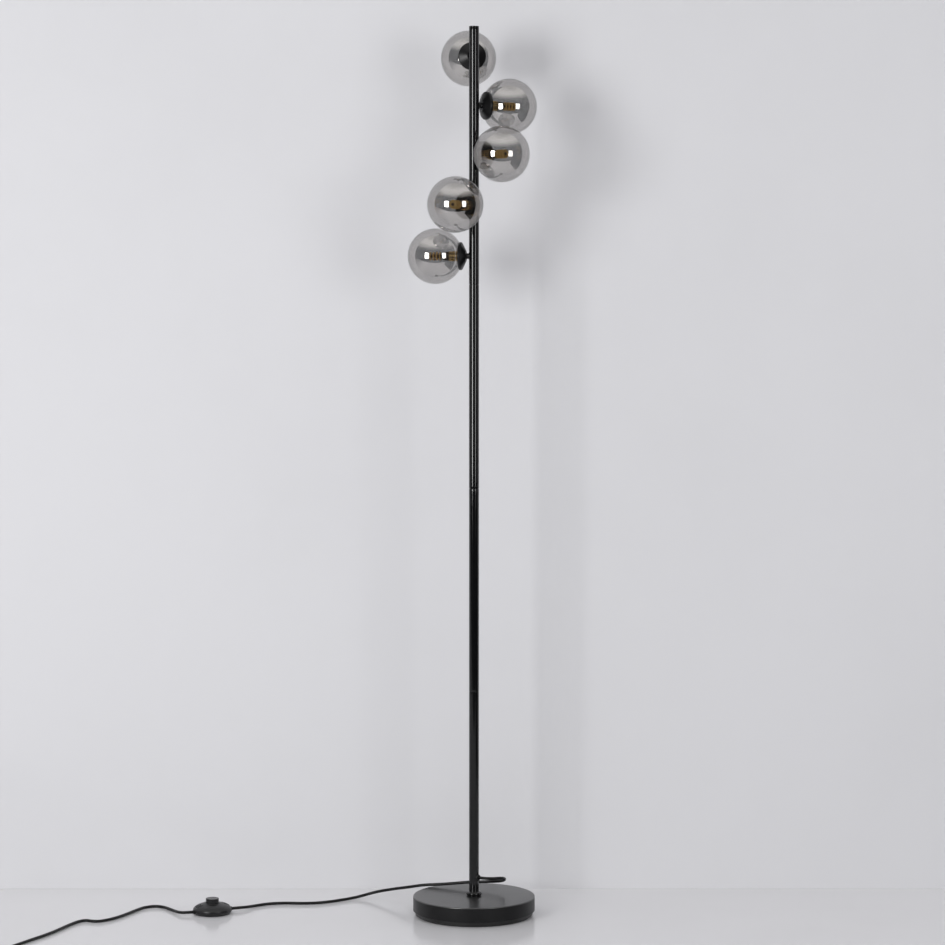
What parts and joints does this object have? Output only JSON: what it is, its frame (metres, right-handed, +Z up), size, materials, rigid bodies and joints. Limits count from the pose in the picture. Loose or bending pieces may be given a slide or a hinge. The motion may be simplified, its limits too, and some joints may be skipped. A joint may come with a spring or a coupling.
{
  "type": "globe floor lamp",
  "caption": "Tall floor lamp: round weighted base, thin sectional pole, smoked glass globes climbing round its head on cup fittings, and a mains lead with a foot switch.",
  "frame": {"origin": "on the floor, on the pole's axis, at the underside of the felt pad", "axes": "+Z up along the pole; +X right and +Y away from the viewer of the picture"},
  "size_m": [1.08, 0.4911, 1.61],
  "materials": {
    "satin_black_metal": "satin black powder coat",
    "zinc_steel": "zinc plated",
    "cast_iron": "raw casting",
    "black_sheet_steel": "matte black paint",
    "felt": "dense black felt",
    "black_rubber": "matte",
    "white_plastic": "matte",
    "wire_insulation": "matte",
    "ceramic": "glazed ceramic",
    "bulb_envelope": "clear with light rings",
    "smoked_glass": "smoked, half mirrored",
    "black_plastic": "satin moulding",
    "cord_sheath": "soft sheath with a light gloss",
    "nickel_plate": "nickel plated"
  },
  "bodies": {
    "lamp": {"base_cover": "satin_black_metal", "base_weight": "cast_iron", "base_plate": "black_sheet_steel", "base_pad": "felt", "base_washer": "zinc_steel", "base_nut": "zinc_steel", "pole_stud": "zinc_steel", "pole_collar": "satin_black_metal", "pole_tube_1": "satin_black_metal", "pole_tube_2": "satin_black_metal", "pole_tube_3": "satin_black_metal", "pole_tube_4": "satin_black_metal", "foot_insert": "zinc_steel", "pole_joiner_1": "zinc_steel", "pole_joiner_2": "zinc_steel", "pole_joiner_3": "zinc_steel", "pole_cap": "satin_black_metal", "cord_grommet": "black_rubber", "cord_clamp": "white_plastic", "wire_splices": "white_plastic", "lamp_wires": "wire_insulation", "arm_neck_1": "satin_black_metal", "globe_cup_1": "satin_black_metal", "lamp_holder_1": "ceramic", "bulb_1": "bulb_envelope", "arm_neck_2": "satin_black_metal", "globe_cup_2": "satin_black_metal", "lamp_holder_2": "ceramic", "bulb_2": "bulb_envelope", "arm_neck_3": "satin_black_metal", "globe_cup_3": "satin_black_metal", "lamp_holder_3": "ceramic", "bulb_3": "bulb_envelope", "arm_neck_4": "satin_black_metal", "globe_cup_4": "satin_black_metal", "lamp_holder_4": "ceramic", "bulb_4": "bulb_envelope", "arm_neck_5": "satin_black_metal", "globe_cup_5": "satin_black_metal", "lamp_holder_5": "ceramic", "bulb_5": "bulb_envelope", "cup_locknuts": "zinc_steel", "switch_base": "black_plastic", "switch_cover": "black_plastic", "switch_glands": "black_rubber", "switch_screws": "zinc_steel", "switch_contacts": "white_plastic", "switch_spring": "zinc_steel", "cord_pole_run": "cord_sheath", "cord_floor_run": "cord_sheath", "cord_coil": "cord_sheath", "cord_plug_run": "cord_sheath", "plug_body": "cord_sheath", "plug_pins": "nickel_plate"},
    "foot_button": {"switch_button": "black_plastic"},
    "globe_1": {"glass_globe_1": "smoked_glass"},
    "globe_2": {"glass_globe_2": "smoked_glass"},
    "globe_3": {"glass_globe_3": "smoked_glass"},
    "globe_4": {"glass_globe_4": "smoked_glass"},
    "globe_5": {"glass_globe_5": "smoked_glass"}
  },
  "joints": [
    {"name": "foot_button_press", "type": "slide", "parent": "lamp", "child": "foot_button", "axis": [0, 0, -1], "range_m": [0, 0.0035], "stiffness_N_per_m": 900, "springref_m": -0.004, "deforming": ["switch_spring"]},
    {"name": "globe_1_unscrew", "type": "hinge", "parent": "lamp", "child": "globe_1", "pos_m": [-0.06972, 0.01229, 1.199], "axis": [-0.9848, 0.1736, 0], "range_deg": [0, 360]},
    {"name": "globe_2_unscrew", "type": "hinge", "parent": "lamp", "child": "globe_2", "pos_m": [-0.03324, -0.06251, 1.289], "axis": [-0.4695, -0.8829, 0], "range_deg": [0, 360]},
    {"name": "globe_3_unscrew", "type": "hinge", "parent": "lamp", "child": "globe_3", "pos_m": [0.04918, -0.05093, 1.379], "axis": [0.6947, -0.7193, 0], "range_deg": [0, 360]},
    {"name": "globe_4_unscrew", "type": "hinge", "parent": "lamp", "child": "globe_4", "pos_m": [0.06363, 0.03104, 1.469], "axis": [0.8988, 0.4384, 0], "range_deg": [0, 360]},
    {"name": "globe_5_unscrew", "type": "hinge", "parent": "lamp", "child": "globe_5", "pos_m": [-0.00985, 0.07011, 1.559], "axis": [-0.1392, 0.9903, 0], "range_deg": [0, 360]}
  ]
}
